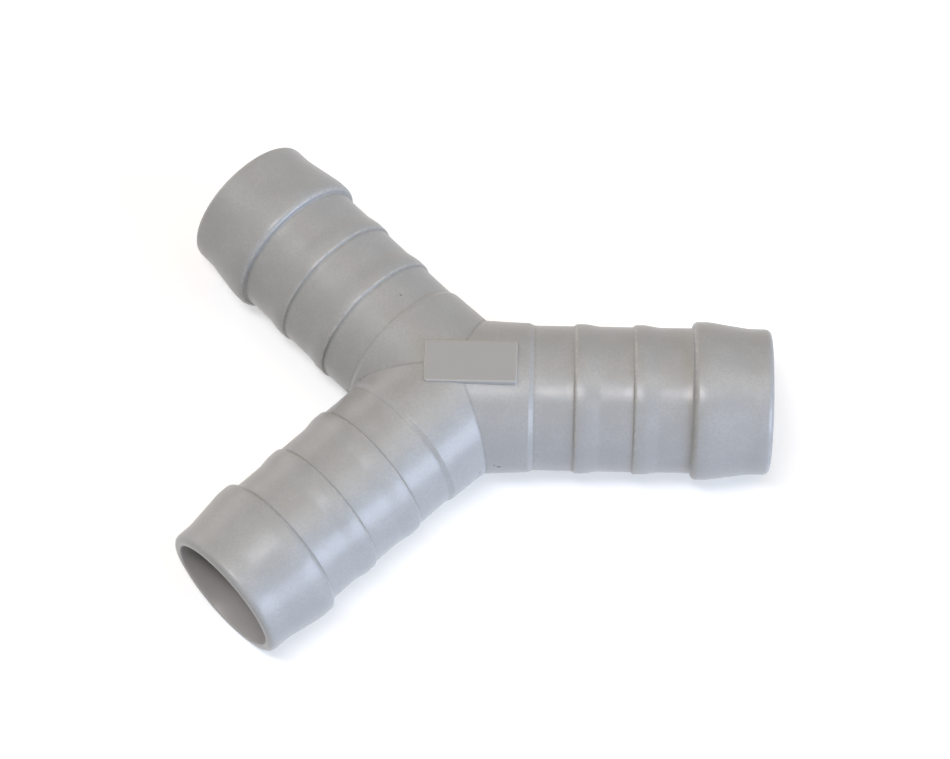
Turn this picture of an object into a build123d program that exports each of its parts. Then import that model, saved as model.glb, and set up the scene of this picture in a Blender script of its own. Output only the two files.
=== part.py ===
from build123d import *
import math
import os

# Y connector for tubing, moulded in one piece: a stem and two branches meet in a hollow hub.
# Each of the three arms ends in a tail with barbs, and a hose is pushed over it up to the shoulder.
# Millimetres. The stem points along +X, the branches lean back on either side of its line, and all
# three axes lie level. Z is up, through the pad on the crown. The origin is where the middle of the
# connector's outline meets the surface that it lies on.

# Arms
BRANCH_LEAN = 45.0  # degrees between each branch and the stem's line carried on past the hub
ARM_LENGTH = 41.1  # from the meeting point of the axes to the mouth
ROOT_DIAMETER = 19.0  # between the barbs, the bore of the hose that it takes
WALL = 1.4  # at the root

# Hub
HUB_LENGTH = 9.45  # from the meeting point of the axes to the top of the shoulder
SHOULDER_HEIGHT = 0.3
SHOULDER_RAMP = 0.75
HUB_DRAFT = 2.2  # degrees that the hub widens by towards the crown

# Barbs: an upright step that faces the hub, then a land, then a ramp down towards the mouth
BARB_COUNT = 2
PLAIN_LENGTH = 5.2  # root left bare between the shoulder and the first barb
BARB_HEIGHT = 0.3
BARB_LAND = 1.5
BARB_RAMP = 1.75

# End barb and the nose in front of it
END_BARB_HEIGHT = 0.85
END_BARB_LAND = 2.1
END_BARB_RAMP = 5.3
NOSE_HEIGHT = 0.03
NOSE_LENGTH = 2.9
NOSE_ROUND = 0.8

# Pad on the crown
PAD_LENGTH = 12.0
PAD_WIDTH = 5.9
PAD_RISE = 0.2  # above the crown
PAD_MARGIN = 1.45  # from the pad to the stem's shoulder
PAD_CORNER = 0.4
PAD_DRAFT = 3.0  # degrees

# Sizes that follow
root_radius = ROOT_DIAMETER / 2
bore_radius = root_radius - WALL
nose_radius = root_radius + NOSE_HEIGHT
shoulder_radius = root_radius + SHOULDER_HEIGHT
crown_radius = shoulder_radius + HUB_LENGTH * math.tan(math.radians(HUB_DRAFT))
shoulder_foot_station = HUB_LENGTH + SHOULDER_RAMP
first_barb_station = shoulder_foot_station + PLAIN_LENGTH
nose_station = ARM_LENGTH - NOSE_LENGTH
end_barb_station = nose_station - END_BARB_RAMP - END_BARB_LAND
barb_pitch = (end_barb_station - first_barb_station) / BARB_COUNT


def step_and_land(station, height, land):
    """Corners of a barb's upright step and its land, each as a station along the arm and a radius."""
    crest = root_radius + height
    return [(station, root_radius), (station, crest), (station + land, crest)]


def outside_corners():
    """Corners of an arm's outside, from the crown to the mouth."""
    corners = [
        (0, crown_radius),
        (HUB_LENGTH, shoulder_radius),
        (shoulder_foot_station, root_radius),
    ]
    for index in range(BARB_COUNT):
        station = first_barb_station + index * barb_pitch
        corners += step_and_land(station, BARB_HEIGHT, BARB_LAND)
        corners += [(station + BARB_LAND + BARB_RAMP, root_radius)]
    corners += step_and_land(end_barb_station, END_BARB_HEIGHT, END_BARB_LAND)
    corners += [(nose_station, nose_radius), (ARM_LENGTH, nose_radius)]
    return corners


def wall_section():
    """Section of one arm's wall above its axis: the barbed outside, the rounded nose and the bore."""
    bore_corners = [(ARM_LENGTH, bore_radius), (0, bore_radius)]
    section = make_face(Polyline(outside_corners() + bore_corners, close=True))
    nose_corner = section.vertices().sort_by_distance((ARM_LENGTH, nose_radius))[0]
    return fillet(nose_corner, NOSE_ROUND)


def sector(first, last):
    """Wedge of space between two directions in degrees, in which one arm is mitred."""
    reach = 4 * ARM_LENGTH
    far_corners = [Vector(reach, 0).rotate(Axis.Z, angle) for angle in (first, last)]
    triangle = make_face(Polyline(Vector(0, 0), *far_corners, close=True))
    return extrude(triangle, 2 * crown_radius, both=True)


def pad():
    """Raised rectangle on the crown, drafted, with its foot sunk deep into the hub's wall."""
    top = crown_radius + PAD_RISE
    foot = bore_radius + WALL / 4
    middle = HUB_LENGTH - PAD_MARGIN - PAD_LENGTH / 2
    outline = Pos(middle, 0, top) * RectangleRounded(PAD_LENGTH, PAD_WIDTH, PAD_CORNER)
    return extrude(outline, foot - top, taper=-PAD_DRAFT)


def moulding():
    """The whole connector about the meeting point of its axes: three mitred arms and the pad."""
    straight_arm = revolve(wall_section(), Axis.X)
    branch_direction = 180 - BRANCH_LEAN
    mitre = branch_direction / 2
    stem = straight_arm & sector(-mitre, mitre)
    left_branch = (Rot(0, 0, branch_direction) * straight_arm) & sector(mitre, 180)
    right_branch = mirror(left_branch, Plane.XZ)
    return stem + left_branch + right_branch + pad()


def laid_down(body):
    """The body moved so that its outline is centred over the origin and it lies on Z = 0."""
    box = body.bounding_box()
    return Pos(-box.center().X, 0, -box.min.Z) * body


os.makedirs("parts", exist_ok=True)
export_step(laid_down(moulding()), "parts/y_connector.step")
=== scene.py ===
"""Moulded Y connector for hoses: a stem and two branches with barbed tails, lying on a pale floor.

The moulding and its finish are worked out in millimetres about the meeting point of the three axes,
with the stem along +X and the pad on the crown. Meshes are moved and scaled into the frame, in metres,
as they are made. A station is a distance along an arm's axis, a radius is a distance from it, and a
heading is in degrees from +X towards +Y.
"""
import math

import bmesh
import bpy
import numpy as np
from mathutils import Matrix, Vector


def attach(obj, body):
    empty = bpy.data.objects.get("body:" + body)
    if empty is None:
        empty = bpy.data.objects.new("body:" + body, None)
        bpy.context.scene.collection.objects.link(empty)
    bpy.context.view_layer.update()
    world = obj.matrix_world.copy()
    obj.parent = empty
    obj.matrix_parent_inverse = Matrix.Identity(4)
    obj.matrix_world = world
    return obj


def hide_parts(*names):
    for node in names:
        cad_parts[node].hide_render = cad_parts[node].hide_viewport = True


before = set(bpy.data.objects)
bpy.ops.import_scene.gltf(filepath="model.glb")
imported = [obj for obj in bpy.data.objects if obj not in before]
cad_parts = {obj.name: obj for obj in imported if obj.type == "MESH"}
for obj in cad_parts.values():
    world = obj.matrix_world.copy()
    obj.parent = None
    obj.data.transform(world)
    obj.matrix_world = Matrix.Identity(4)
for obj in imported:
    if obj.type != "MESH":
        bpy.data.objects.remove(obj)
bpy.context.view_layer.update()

# ---------------------------------------------------------------- sizes of the moulding, in millimetres
PER_METRE = 1000
BRANCH_LEAN = 45.0  # degrees from the stem's line carried on past the hub
ARM_HEADINGS = [0.0, 180.0 - BRANCH_LEAN, 180.0 + BRANCH_LEAN]
ARM_GAPS = np.diff(ARM_HEADINGS + [360.0]).tolist()  # from each arm to the next

CROWN_RADIUS = 10.1630
SHOULDER_RADIUS = 9.8
ROOT_RADIUS = 9.5
BARB_RADIUS = 9.8
END_BARB_RADIUS = 10.35
NOSE_RADIUS = 9.53
BORE_RADIUS = 8.1
FIRST_BARB_STATION = 15.4
BARB_SPACING = 7.7
MOUTH_STATION = 41.1
HUB_END = FIRST_BARB_STATION - 0.1  # the hub, its shoulder and the root behind the barbs end here
MEETING_POINT = (-2.8153, 0.0, END_BARB_RADIUS)  # in the frame; the end barbs touch the floor

# Corners of the wall's section: station, radius, and how far from the corner its rounding starts.
# The stations of a barb's corners are counted from the barb's own.
HUB_CORNERS = [
    (0.0, CROWN_RADIUS, 0.0),
    (9.52, SHOULDER_RADIUS, 0.08),
    (10.15, ROOT_RADIUS, 0.08),
]
BARB_CORNERS = [
    (-0.06, ROOT_RADIUS, 0.10),
    (0.10, BARB_RADIUS, 0.30),
    (1.50, BARB_RADIUS, 0.40),
    (3.25, ROOT_RADIUS, 0.40),
]
END_BARB_CORNERS = [
    (-0.08, ROOT_RADIUS, 0.18),
    (0.10, END_BARB_RADIUS, 0.62),
    (2.10, END_BARB_RADIUS, 0.60),
    (7.40, NOSE_RADIUS, 0.90),
]
MOUTH_CORNERS = [
    (MOUTH_STATION, NOSE_RADIUS, 0.80),
    (MOUTH_STATION, BORE_RADIUS, 0.22),
    (0.0, BORE_RADIUS, 0.0),
]

PAD_MIDDLE = 2.0
PAD_HALF_LENGTH = 6.0
PAD_HALF_WIDTH = 2.95
PAD_CORNER = 0.4
PAD_TOP = CROWN_RADIUS + 0.2
PAD_DRAFT = math.tan(math.radians(3.0))
PAD_EDGE = 0.14
PAD_FLAT = 0.30  # width of the top's outermost strip
PAD_FOOT = 8.45

# ---------------------------------------------------------------- how finely the meshes are made
COLUMNS_ROUND_ARM = 192
LONGEST_ROW = 1.6
ROWS_BESIDE_VALLEY = (0.0, 0.04, 0.09, 0.16, 0.26, 0.40, 0.60)
VALLEY_SOFTNESS = 0.10
SUBSTITUTIONS = 24  # of the valley's station into its own equation
STEPS_ROUND_CORNER = 4
STEPS_ROUND_PAD_CORNER = 7
SAME_STATION = 1e-6  # stations this near to each other are the same
JOINING_DISTANCE = 1e-6  # metres
SHARP_FROM = 32.0  # degrees between two faces

# ---------------------------------------------------------------- finish; colours are linear red, green, blue
PLASTIC_DARK = (0.402, 0.405, 0.402, 1)
PLASTIC_LIGHT = (0.432, 0.436, 0.432, 1)
PLASTIC_GRAIN = (0.378, 0.380, 0.377, 1)
# Painted light: the bore and the inner edge of the mouth are painted lighter and warmer than the outside.
PLASTIC_BORE_PAINTED_LIGHT = (0.452, 0.436, 0.424, 1)
# Painted shade: the pad's top is painted a little darker than the plastic round it.
PLASTIC_PAD_PAINTED_SHADE = (0.391, 0.394, 0.388, 1)
# Wear and painted highlight: lighter on the steps' crests, partly wear and partly painted highlight, and
# painted highlight along the pad's rim.
PLASTIC_WEAR_AND_HIGHLIGHT = (0.550, 0.515, 0.465, 1)
# Colour of the dirt, and of the painted shade in creases and at the feet of steps, shoulders and the pad.
DIRT_AND_SHADE = (0.085, 0.078, 0.068, 1)

# Patterns: how often they change per millimetre, and their detail
MOTTLING = (0.35, 3.0)
GRAIN = (3.2, 2.0)
BLOTCHES = (1.3, 4.0)

# How strongly each change of colour shows, from nought to one
GRAIN_SHARE = 0.75
CREST_WEAR_AND_HIGHLIGHT_SHARE = 0.60
PAD_RIM_HIGHLIGHT_SHARE = 0.30
SPECK_SHARE = 0.80
# Dirt and painted shade along the creases between arms.
CREASE_DIRT_AND_SHADE = 0.26
# Painted shade, a contact shadow, along the pad's foot.
PAD_FOOT_SHADE = 0.12
# Painted shade at the foot of each arm's shoulder.
SHOULDER_SHADE = 0.14
STEP_DIRT_AND_SHADE = (0.06, 0.24)  # dirt and painted shade at the steps' feet on most of the connector, and more painted shade on the left branch
THIN_DIRT_AND_SHADE = 0.55  # of the full dirt and painted shade, between blotches

# Where they show. A fade has two limits in millimetres; a band has its start, full, last and end.
OUTSIDE_FADE = (BORE_RADIUS + 0.4, BORE_RADIUS + 0.8)  # by radius
LEFT_BRANCH_FADE = (8.0, 14.0)  # by station
BARBED_BAND = (13.0, 13.5, 32.5, 33.0)  # by station
SHOULDER_FOOT_BAND = (10.1, 10.2, 10.2, 10.55)  # by station
STEP_FOOT_BAND = (-0.60, -0.10, 0.04, 0.12)  # past the nearest step
STEP_CREST_BAND = (0.05, 0.12, 0.20, 0.45)  # past the nearest step
UPPER_FADE = (8.6, 9.0)  # by height above the axes
PAD_TOP_FADE = (0.0, 0.05)  # past the pad's side
PAD_RIM_BAND = (-0.22, -0.08, 0.06, 0.12)  # past the pad's side
PAD_FOOT_BAND = (0.0, 0.05, 0.10, 0.45)  # past the pad's side
CREASE_FADE = (0.0, 0.32)  # from the plane between two arms
CREASE_START_FADE = (0.8, 4.0)  # from the meeting point
SPECKS = [  # place and radius of each speck of dirt
    (-14.2, 0.8, -0.9, 0.75), (-13.65, 0.05, 1.8, 0.45), (-12.4, -0.4, 5.0, 0.30), (-12.0, -0.3, 5.6, 0.24),
    (5.8, -9.93, -0.3, 0.36), (5.2, -9.93, 0.1, 0.20), (3.4, -10.7, -0.5, 0.20), (-7.4, 9.9, 9.3, 0.18),
]
SPECK_RAGGEDNESS = 0.12

# Where a pattern, which is about 0.5 on average, starts to count and counts in full
MOTTLED_COLOUR_FADE = (0.35, 0.68)
MOTTLED_GLOSS_FADE = (0.3, 0.7)
GRAIN_COLOUR_FADE = (0.35, 0.70)
RAGGED_FADE = (0.3, 0.7)
WEAR_AND_HIGHLIGHT_FADE = (0.42, 0.62)
DIRT_AND_SHADE_FADE = (0.30, 0.62)

# A roughness under about 0.28 would leave patches in a denoised render.
ROUGHNESS = (0.29, 0.36)
PAD_ROUGHNESS = 0.46
DIRT_AND_SHADE_ROUGHNESS = 0.4  # added where the dirt and painted shade are full
REFRACTIVE_INDEX = 1.5
SCATTER_WEIGHT = 0.30
SCATTER_RADIUS = (1.0, 0.92, 0.82)
SCATTER_SCALE = 0.0009  # metres
BUMP_STRENGTH = 0.25
BUMP_DISTANCE = 0.00002  # metres
BUMP_OF_BLOTCHES = 1.5  # times the grain's

# ---------------------------------------------------------------- floor and lamps, in metres, degrees and watts
WHITE = (1, 1, 1, 1)
FLOOR_WHITE = (0.8, 0.8, 0.8, 1)
FLOOR_HALF = 3.0
FLOOR_GLOW = 0.45
LAMP_POWER = 5.0
LAMP_DISTANCE = 0.9
LAMPS = [  # name, heading, elevation, width and height, red green blue
    ("low_window", -32, 14, (0.62, 0.44), (0.85, 0.99, 1.32)),
    ("far_light", 135, 10, (0.60, 0.60), (0.30, 0.28, 0.29)),
    ("back_light", 157, 38, (0.60, 0.60), (0.14, 0.17, 0.20)),
    ("right_light", -23, 38, (0.60, 0.60), (0.03, 0.10, 0.16)),
    ("high_right_light", 0, 68, (0.50, 0.50), (0.29, 0.25, 0.17)),
    ("high_far_light", 90, 68, (0.50, 0.50), (0.09, 0.04, 0.00)),
    ("high_left_light", 180, 68, (0.50, 0.50), (0.17, 0.17, 0.13)),
    ("near_lamp", -118, 74, (0.34, 0.12), (0.67, 0.64, 0.67)),
]

# ---------------------------------------------------------------- camera, in degrees and millimetres
CAMERA_BEARING = 2.44
CAMERA_ELEVATION = 63.05
CAMERA_ROLL = -1.14
CAMERA_DISTANCE = 449.4
AIM_OFFSET = (2.46, 2.23)  # to the right and up, from the meeting point
FOCAL_LENGTH = 129.8
NEAREST_SEEN = 0.01  # metres


# ---------------------------------------------------------------- shapes
def wall_corners():
    """Corners of the wall's section, from the crown along the outside and back along the bore.

    Each barb's corners are moved along by the station of that barb.
    """
    end_barb_station = FIRST_BARB_STATION + 2 * BARB_SPACING
    barbs = [(FIRST_BARB_STATION, BARB_CORNERS), (FIRST_BARB_STATION + BARB_SPACING, BARB_CORNERS),
             (end_barb_station, END_BARB_CORNERS)]
    moved = [(station + past, radius, reach) for station, barb in barbs for past, radius, reach in barb]
    return HUB_CORNERS + moved + MOUTH_CORNERS


def softened(corners, steps):
    """Profile with rounded corners, as an array of (station, radius).

    At each corner the curve leaves the straight run a given reach before the corner and joins the next
    run the same reach after it. Between those two points it is the circle arc that touches both runs:
    its centre lies on the corner's bisector, and its points are the spherical blend of the two spokes.
    The first and the last corner stay as they are.
    """
    table = np.asarray(corners, float)
    point, reach = table[:, :2], table[1:-1, 2:3]
    here, before, after = point[1:-1], point[:-2], point[2:]
    back = (before - here) / np.linalg.norm(before - here, axis=1, keepdims=True)
    ahead = (after - here) / np.linalg.norm(after - here, axis=1, keepdims=True)
    between = np.arccos(np.clip((back * ahead).sum(1, keepdims=True), -1, 1))
    bisector = (back + ahead) / np.linalg.norm(back + ahead, axis=1, keepdims=True)
    centre = here + bisector * reach / np.cos(between / 2)
    spoke_in, spoke_out = here + back * reach - centre, here + ahead * reach - centre
    sweep = (math.pi - between)[:, :, None]
    share = np.linspace(0, 1, steps)[None, :, None]
    arc = np.sin((1 - share) * sweep) * spoke_in[:, None] + np.sin(share * sweep) * spoke_out[:, None]
    arc = centre[:, None] + arc / np.sin(sweep)
    return np.vstack([point[:1], arc.reshape(-1, 2), point[-1:]])


def with_rows_between(profile, longest):
    """The profile with extra points, evenly spread, on each run that is longer than the longest allowed."""
    run = np.linalg.norm(np.diff(profile, axis=0), axis=1)
    pieces = np.maximum(1, np.ceil(run / longest)).astype(int)
    position = np.concatenate([[0], np.cumsum(1.0 / np.repeat(pieces, pieces))])
    index = np.arange(len(profile))
    return np.column_stack([np.interp(position, index, profile[:, i]) for i in (0, 1)])


def grid_faces(rows, columns, first):
    """Quads of a grid whose columns close into a ring: corner (i, j), (i+1, j), (i+1, j+1), (i, j+1)."""
    row, column = np.meshgrid(np.arange(rows - 1), np.arange(columns), indexing="ij")
    following = (column + 1) % columns
    corners = [row * columns + column, (row + 1) * columns + column,
               (row + 1) * columns + following, row * columns + following]
    return first + np.stack(corners, axis=-1).reshape(-1, 4)


def arm_surface(direction, gap_left, gap_right):
    """Outside, mouth and bore of one arm, as a grid of points: rows along the wall, columns round the axis.

    A column at the angle t from the crown meets the neighbouring arm on the plane halfway between the
    two axes. There the station is radius * |sin t| / tan(half the gap), and no row starts before that. The
    radius changes along the hub, so the station is found by putting it into this equation again and again.
    The first rows keep close to that line and are lifted off the two walls by k * (sqrt(d*d + e*e) - d),
    where d is the distance from the plane, k the slope of the valley and e its softness. The lift goes
    along the wall's outward direction as it lies in that plane.
    """
    turn = 2 * math.pi * np.arange(COLUMNS_ROUND_ARM) / COLUMNS_ROUND_ARM
    sine, cosine = np.sin(turn), np.cos(turn)
    half_gap = np.radians(np.where(sine >= 0, gap_left, gap_right)) / 2
    lean = np.abs(sine) / np.tan(half_gap)

    wall = with_rows_between(softened(wall_corners(), STEPS_ROUND_CORNER), LONGEST_ROW)
    mouth = int(np.argmax(wall[:, 0] > MOUTH_STATION - SAME_STATION)) + 1
    outside, inside = wall[:mouth], wall[mouth:]
    hub = outside[outside[:, 0] < HUB_END]
    valley = CROWN_RADIUS * lean
    for _ in range(SUBSTITUTIONS):
        valley = np.interp(valley, *hub.T) * lean

    beside_valley = valley + np.array(ROWS_BESIDE_VALLEY)[:, None]
    station = np.maximum(outside[:, :1], beside_valley[-1])
    radius = np.where(station > outside[:, :1], np.interp(station, *hub.T), outside[:, 1:])
    station = np.vstack([beside_valley, station])
    radius = np.vstack([np.interp(beside_valley, *hub.T), radius])

    distance = station * np.sin(half_gap) - radius * np.abs(sine) * np.cos(half_gap)
    towards_plane = np.abs(sine) * np.cos(half_gap)
    upright = np.sqrt(1 - towards_plane ** 2)
    lift = towards_plane / upright * (np.hypot(distance, VALLEY_SOFTNESS) - distance)
    along = station + lift * np.abs(sine) * np.cos(half_gap) * np.sin(half_gap) / upright
    across = (radius + lift * np.sin(half_gap) ** 2 / upright) * sine
    height = (radius + lift / upright) * cosine

    bore = np.maximum(inside[:, :1], BORE_RADIUS * lean)
    along = np.vstack([along, bore])
    across = np.vstack([across, inside[:, 1:] * sine])
    height = np.vstack([height, inside[:, 1:] * cosine])
    heading = math.radians(direction)
    return np.stack([along * math.cos(heading) - across * math.sin(heading),
                     along * math.sin(heading) + across * math.cos(heading), height], axis=-1)


def pad_surface():
    """The pad as a grid: an edge profile carried round a rounded rectangle.

    A point of the outline is a corner's centre plus the corner radius, widened by the profile's first
    coordinate, in the direction of its angle. The profile's second coordinate is the height.
    """
    fall = PAD_TOP - PAD_FOOT
    edge = softened([(-PAD_FLAT, PAD_TOP, 0.0), (0.0, PAD_TOP, PAD_EDGE), (fall * PAD_DRAFT, PAD_FOOT, 0.0)],
                    STEPS_ROUND_CORNER)
    quarter = np.arange(4)[:, None]
    angle = ((quarter + np.linspace(0, 1, STEPS_ROUND_PAD_CORNER)) * math.pi / 2).ravel()
    right = np.repeat([1, -1, -1, 1], STEPS_ROUND_PAD_CORNER)
    far = np.repeat([1, 1, -1, -1], STEPS_ROUND_PAD_CORNER)
    reach = PAD_CORNER + edge[:, :1]
    x = PAD_MIDDLE + right * (PAD_HALF_LENGTH - PAD_CORNER) + reach * np.cos(angle)
    y = far * (PAD_HALF_WIDTH - PAD_CORNER) + reach * np.sin(angle)
    return np.stack([x, y, np.broadcast_to(edge[:, 1:], x.shape)], axis=-1)


def mesh_of(name, grids, capped=False):
    """Mesh in the frame, in metres, from grids of points in millimetres about the meeting point.

    Equal points are joined, which closes the seams between grids. A capped grid also gets a flat face
    on its first and last row.
    """
    points, faces, first = [], [], 0
    for grid in grids:
        rows, columns = grid.shape[:2]
        points.append(grid.reshape(-1, 3))
        faces += grid_faces(rows, columns, first).tolist()
        if capped:
            ring = np.arange(columns) + first
            faces += [ring.tolist(), (ring[::-1] + (rows - 1) * columns).tolist()]
        first += rows * columns
    points = (np.vstack(points) + MEETING_POINT) / PER_METRE
    mesh = bpy.data.meshes.new(name)
    mesh.from_pydata(points.tolist(), [], faces)
    form = bmesh.new()
    form.from_mesh(mesh)
    bmesh.ops.remove_doubles(form, verts=form.verts, dist=JOINING_DISTANCE)
    form.to_mesh(mesh)
    form.free()
    return mesh


def linked(name, data):
    """New object for a mesh, lamp or camera, put into the scene."""
    thing = bpy.data.objects.new(name, data)
    bpy.context.scene.collection.objects.link(thing)
    return thing


def moulding():
    """The whole body: three arms welded along their valleys, with the pad united to the crown."""
    arms = [arm_surface(heading, ARM_GAPS[i], ARM_GAPS[i - 1]) for i, heading in enumerate(ARM_HEADINGS)]
    body = linked("y_connector_moulding", mesh_of("y_connector_moulding", arms))
    pad = linked("crown_pad", mesh_of("crown_pad", [pad_surface()], capped=True))
    union = body.modifiers.new("pad_on_crown", "BOOLEAN")
    union.operation, union.solver, union.object = "UNION", "EXACT", pad
    plain = body.data
    united = body.evaluated_get(bpy.context.evaluated_depsgraph_get())
    body.data = bpy.data.meshes.new_from_object(united)
    body.data.name = plain.name
    body.modifiers.clear()
    bpy.data.objects.remove(pad)
    bpy.data.meshes.remove(plain)
    body.data.shade_smooth()
    body.data.set_sharp_from_angle(angle=math.radians(SHARP_FROM))
    return body


# ---------------------------------------------------------------- finish
class NodeBench:
    """Short words for the shader nodes of one tree. Apart from join and add, each call gives an output.

    A value handed to a call is another node's output, which is linked, or a plain number, vector or colour.
    """

    def __init__(self, tree):
        self.tree = tree

    def join(self, value, socket):
        """Link an output to a socket, or set the socket to a plain value."""
        if isinstance(value, bpy.types.NodeSocket):
            self.tree.links.new(value, socket)
        else:
            socket.default_value = value

    def add(self, kind, *values):
        """New node, with the values on its first sockets."""
        node = self.tree.nodes.new(kind)
        for value, socket in zip(values, node.inputs):
            self.join(value, socket)
        return node

    def number(self, operation, *values):
        node = self.add("ShaderNodeMath", *values)
        node.operation = operation
        return node.outputs["Value"]

    def difference(self, first, second):
        return self.number("SUBTRACT", first, second)

    def product(self, first, *others):
        for other in others:
            first = self.number("MULTIPLY", first, other)
        return first

    def largest(self, first, *others):
        for other in others:
            first = self.number("MAXIMUM", first, other)
        return first

    def vector(self, operation, *values, output="Vector"):
        node = self.add("ShaderNodeVectorMath", *values)
        node.operation = operation
        return node.outputs[output]

    def measure(self, operation, first, second):
        """A number from two vectors: their dot product, or the distance between them."""
        return self.vector(operation, first, second, output="Value")

    def fade(self, value, low, high, at_low=0.0, at_high=1.0):
        """Smooth change from one number to another while the value goes from low to high."""
        node = self.add("ShaderNodeMapRange", value, low, high, at_low, at_high)
        node.interpolation_type = "SMOOTHSTEP"
        return node.outputs["Result"]

    def fade_out(self, value, low, high):
        """One below the low limit and nought above the high one."""
        return self.fade(value, low, high, 1.0, 0.0)

    def band(self, value, start, full, last, end):
        """One between the two middle limits, and nought before the first and after the last."""
        return self.product(self.fade(value, start, full), self.fade_out(value, last, end))

    def pattern(self, place, per_millimetre, detail):
        """Cloudy noise between nought and one."""
        node = self.add("ShaderNodeTexNoise", place)
        node.inputs["Scale"].default_value = per_millimetre
        node.inputs["Detail"].default_value = detail
        return node.outputs["Fac"]

    def blend(self, share, first, second):
        """Mix of two colours. The Mix node's sockets 6 and 7, and its output 2, are those for colours."""
        node = self.add("ShaderNodeMix", share)
        node.data_type = "RGBA"
        self.join(first, node.inputs[6])
        self.join(second, node.inputs[7])
        return node.outputs[2]


def towards(heading):
    """Level direction of length one at a heading."""
    return (math.cos(math.radians(heading)), math.sin(math.radians(heading)), 0)


def pad_masks(bench, place):
    """Foot, rim and top of the pad, by how far a place is past the pad's nearest side, seen from above."""
    parted = bench.add("ShaderNodeSeparateXYZ", place)
    from_middle = bench.number("ABSOLUTE", bench.difference(parted.outputs["X"], PAD_MIDDLE))
    past_end = bench.difference(from_middle, PAD_HALF_LENGTH)
    past_side = bench.difference(bench.number("ABSOLUTE", parted.outputs["Y"]), PAD_HALF_WIDTH)
    past_pad = bench.largest(past_end, past_side)
    upper = bench.fade(parted.outputs["Z"], *UPPER_FADE)
    # the foot carries painted shade, and the rim a painted highlight
    foot = bench.product(bench.band(past_pad, *PAD_FOOT_BAND), upper)
    rim = bench.product(bench.band(past_pad, *PAD_RIM_BAND), upper)
    top = bench.product(bench.fade_out(past_pad, *PAD_TOP_FADE), upper)
    return foot, rim, top


def crease_mask(bench, place):
    """The creases between arms: near the plane halfway between two arms, on the outer side of the axes."""
    creases = []
    for heading, gap in zip(ARM_HEADINGS, ARM_GAPS):
        outward = heading + gap / 2
        from_plane = bench.number("ABSOLUTE", bench.measure("DOT_PRODUCT", place, towards(outward + 90)))
        started = bench.fade(bench.measure("DOT_PRODUCT", place, towards(outward)), *CREASE_START_FADE)
        creases.append(bench.product(bench.fade_out(from_plane, *CREASE_FADE), started))
    return bench.largest(*creases)


def speck_mask(bench, place, grain):
    """Specks of dirt: near one of the given places, with an outline that the grain makes ragged."""
    raggedness = bench.fade(grain, *RAGGED_FADE, -SPECK_RAGGEDNESS, SPECK_RAGGEDNESS)
    specks = []
    for *middle, radius in SPECKS:
        from_middle = bench.number("ADD", bench.measure("DISTANCE", place, middle), raggedness)
        specks.append(bench.fade_out(from_middle, radius / 2, radius))
    return bench.largest(*specks)


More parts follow.
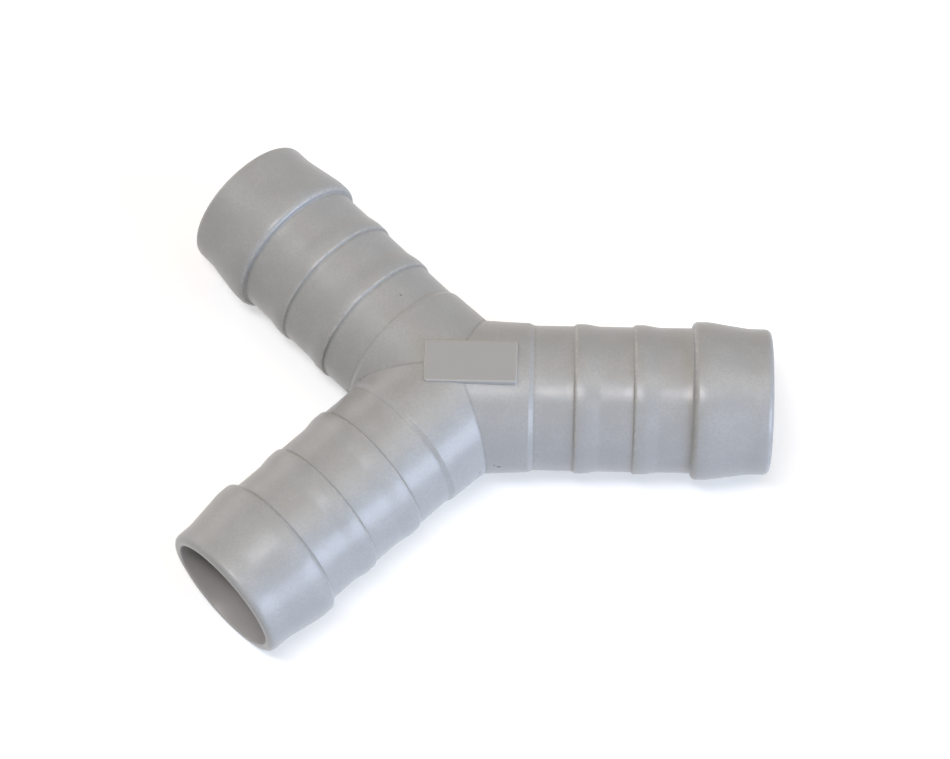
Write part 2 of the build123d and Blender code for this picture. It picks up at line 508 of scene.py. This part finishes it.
def moulded_plastic():
    """Satin grey plastic that lets a little light in, faintly mottled, with specks of dirt. Dirt and painted
    shade darken its creases and the feet of its steps, painted shade the feet of its shoulders and pad and the
    pad's top, wear and painted highlight lighten the steps' crests, painted highlight the pad's rim, and
    painted light the bore.

    A place's station is its furthest reach along any of the three arms, and its radius is the square
    root of its distance from the meeting point squared less the station squared. The steps of the barbs
    are evenly spaced, so how far a place is past the nearest one is its station wrapped at that spacing.
    """
    material = bpy.data.materials.new("satin_grey_plastic")
    material.use_nodes = True
    bench = NodeBench(material.node_tree)
    shader = material.node_tree.nodes["Principled BSDF"]

    coordinates = bench.add("ShaderNodeTexCoord").outputs["Object"]
    in_millimetres = bench.vector("MULTIPLY", coordinates, (PER_METRE, PER_METRE, PER_METRE))
    place = bench.vector("SUBTRACT", in_millimetres, MEETING_POINT)
    mottling = bench.pattern(place, *MOTTLING)
    grain = bench.pattern(place, *GRAIN)
    blotches = bench.pattern(place, *BLOTCHES)

    along_arms = [bench.measure("DOT_PRODUCT", place, towards(heading)) for heading in ARM_HEADINGS]
    station = bench.largest(*along_arms)
    distance_squared = bench.measure("DOT_PRODUCT", place, place)
    radius = bench.number("SQRT", bench.difference(distance_squared, bench.product(station, station)))
    outside = bench.fade(radius, *OUTSIDE_FADE)
    half_spacing = BARB_SPACING / 2
    past_first_step = bench.difference(station, FIRST_BARB_STATION)
    past_step = bench.number("WRAP", past_first_step, half_spacing, -half_spacing)

    pad_foot, pad_rim, pad_top = pad_masks(bench, place)
    # dirt and painted shade along the creases, kept off the pad's top
    crease = bench.product(crease_mask(bench, place), bench.difference(1.0, pad_top))
    barbed = bench.product(bench.band(station, *BARBED_BAND), outside)
    # the steps' feet carry dirt and painted shade
    step_foot = bench.product(bench.band(past_step, *STEP_FOOT_BAND), barbed)
    # the steps' crests carry wear and a painted highlight, broken up by the blotches
    step_crest = bench.product(bench.band(past_step, *STEP_CREST_BAND), barbed,
                               bench.fade(blotches, *WEAR_AND_HIGHLIGHT_FADE))
    # painted shade at the shoulder's foot
    shoulder_foot = bench.product(bench.band(station, *SHOULDER_FOOT_BAND), outside)

    # more painted shade at the steps' feet on the left branch
    step_dirt_and_shade = bench.fade(along_arms[1], *LEFT_BRANCH_FADE, *STEP_DIRT_AND_SHADE)
    # dirt and painted shade: creases, the pad's foot, the shoulders' feet and the steps' feet, thinned between
    # blotches
    dirt_and_shade = bench.largest(bench.product(crease, CREASE_DIRT_AND_SHADE), bench.product(pad_foot, PAD_FOOT_SHADE),
                         bench.product(step_foot, step_dirt_and_shade), bench.product(shoulder_foot, SHOULDER_SHADE))
    dirt_and_shade = bench.product(dirt_and_shade, bench.fade(blotches, *DIRT_AND_SHADE_FADE, THIN_DIRT_AND_SHADE, 1.0))
    # wear and painted highlight on the steps' crests, painted highlight along the pad's rim
    wear_and_highlight = bench.largest(bench.product(step_crest, CREST_WEAR_AND_HIGHLIGHT_SHARE), bench.product(pad_rim, PAD_RIM_HIGHLIGHT_SHARE))
    grained = bench.product(bench.fade(grain, *GRAIN_COLOUR_FADE), GRAIN_SHARE)
    specked = bench.product(speck_mask(bench, place, grain), SPECK_SHARE)

    colour = bench.blend(bench.fade(mottling, *MOTTLED_COLOUR_FADE), PLASTIC_DARK, PLASTIC_LIGHT)
    colour = bench.blend(grained, colour, PLASTIC_GRAIN)
    # painted light in the bore: lighter and warmer than the outside
    colour = bench.blend(outside, PLASTIC_BORE_PAINTED_LIGHT, colour)
    # painted shade on the pad's top
    colour = bench.blend(pad_top, colour, PLASTIC_PAD_PAINTED_SHADE)
    colour = bench.blend(wear_and_highlight, colour, PLASTIC_WEAR_AND_HIGHLIGHT)
    # dirt and painted shade darken the colour here
    colour = bench.blend(dirt_and_shade, colour, DIRT_AND_SHADE)
    colour = bench.blend(specked, colour, DIRT_AND_SHADE)
    bench.join(colour, shader.inputs["Base Color"])

    roughness = bench.largest(bench.fade(mottling, *MOTTLED_GLOSS_FADE, *ROUGHNESS),
                              bench.product(pad_top, PAD_ROUGHNESS))
    roughness = bench.number("ADD", roughness, bench.product(dirt_and_shade, DIRT_AND_SHADE_ROUGHNESS))
    bench.join(roughness, shader.inputs["Roughness"])
    shader.inputs["IOR"].default_value = REFRACTIVE_INDEX
    shader.inputs["Subsurface Weight"].default_value = SCATTER_WEIGHT
    shader.inputs["Subsurface Radius"].default_value = SCATTER_RADIUS
    shader.inputs["Subsurface Scale"].default_value = SCATTER_SCALE

    bump = bench.add("ShaderNodeBump")
    bump.inputs["Strength"].default_value = BUMP_STRENGTH
    bump.inputs["Distance"].default_value = BUMP_DISTANCE
    height = bench.number("ADD", grain, bench.product(blotches, BUMP_OF_BLOTCHES))
    bench.join(height, bump.inputs["Height"])
    bench.join(bump.outputs["Normal"], shader.inputs["Normal"])
    return material


# ---------------------------------------------------------------- floor, lamps and camera
def when_seen(bench, strength):
    """The strength for what the camera sees directly, mirrored or through something, and nought for light."""
    path = bench.add("ShaderNodeLightPath").outputs
    seen = bench.largest(path["Is Camera Ray"], path["Is Glossy Ray"], path["Is Transmission Ray"])
    return bench.product(seen, strength)


def surroundings():
    """White all round, seen directly or mirrored, which adds no light of its own to what is matt."""
    world = bpy.data.worlds.new("pale_surroundings")
    bpy.context.scene.world = world
    world.use_nodes = True
    bench = NodeBench(world.node_tree)
    back = world.node_tree.nodes["Background"]
    back.inputs["Color"].default_value = WHITE
    bench.join(when_seen(bench, 1.0), back.inputs["Strength"])


def floor_paint():
    """Diffuse white that shows the shadow, with some light of its own where it is seen."""
    material = bpy.data.materials.new("white_floor")
    material.use_nodes = True
    bench = NodeBench(material.node_tree)
    bench.tree.nodes.clear()
    diffuse = bench.add("ShaderNodeBsdfDiffuse", FLOOR_WHITE)
    glow = bench.add("ShaderNodeEmission", WHITE, when_seen(bench, FLOOR_GLOW))
    both = bench.add("ShaderNodeAddShader", diffuse.outputs["BSDF"], glow.outputs["Emission"])
    bench.add("ShaderNodeOutputMaterial", both.outputs["Shader"])
    return material


def pale_floor():
    """Square floor that the connector lies on."""
    corners = [(x * FLOOR_HALF, y * FLOOR_HALF, 0) for x, y in ((-1, -1), (1, -1), (1, 1), (-1, 1))]
    floor = linked("pale_floor", bpy.data.meshes.new("pale_floor"))
    floor.data.from_pydata(corners, [], [(0, 1, 2, 3)])
    floor.data.materials.append(floor_paint())


def lamp(name, heading, elevation, size, colour):
    """Soft rectangular lamp, aimed at the object from a heading and an elevation in degrees."""
    light = bpy.data.lights.new(name, "AREA")
    light.shape, light.size, light.size_y = "RECTANGLE", *size
    light.energy = LAMP_POWER * max(colour)
    light.color = [share / max(colour) for share in colour]
    thing = linked(name, light)
    across, up = math.radians(heading), math.radians(elevation)
    place = Vector((math.cos(across) * math.cos(up), math.sin(across) * math.cos(up), math.sin(up)))
    thing.location = place * LAMP_DISTANCE
    thing.rotation_euler = place.to_track_quat("Z", "Y").to_euler()


def camera():
    """Camera on the bearing, height and distance given, aimed beside the meeting point by AIM_OFFSET."""
    bearing, rise, roll = (math.radians(angle) for angle in (CAMERA_BEARING, CAMERA_ELEVATION, CAMERA_ROLL))
    back = Vector((math.sin(bearing) * math.cos(rise), -math.cos(bearing) * math.cos(rise), math.sin(rise)))
    level = Vector((math.cos(bearing), math.sin(bearing), 0))
    upward = back.cross(level)
    right = level * math.cos(roll) + upward * math.sin(roll)
    top = upward * math.cos(roll) - level * math.sin(roll)
    place = Vector(MEETING_POINT) + back * CAMERA_DISTANCE + right * AIM_OFFSET[0] + top * AIM_OFFSET[1]
    data = bpy.data.cameras.new("camera")
    data.lens = FOCAL_LENGTH
    data.clip_start = NEAREST_SEEN
    thing = linked("camera", data)
    turn = Matrix((right, top, back)).transposed().to_4x4()
    thing.matrix_world = Matrix.Translation(place / PER_METRE) @ turn
    bpy.context.scene.camera = thing


bpy.context.scene.view_settings.view_transform = "Standard"
body = moulding()
body.data.materials.clear()
body.data.materials.append(moulded_plastic())
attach(body, "root")
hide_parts("y_connector")
pale_floor()
surroundings()
for row in LAMPS:
    lamp(*row)
camera()
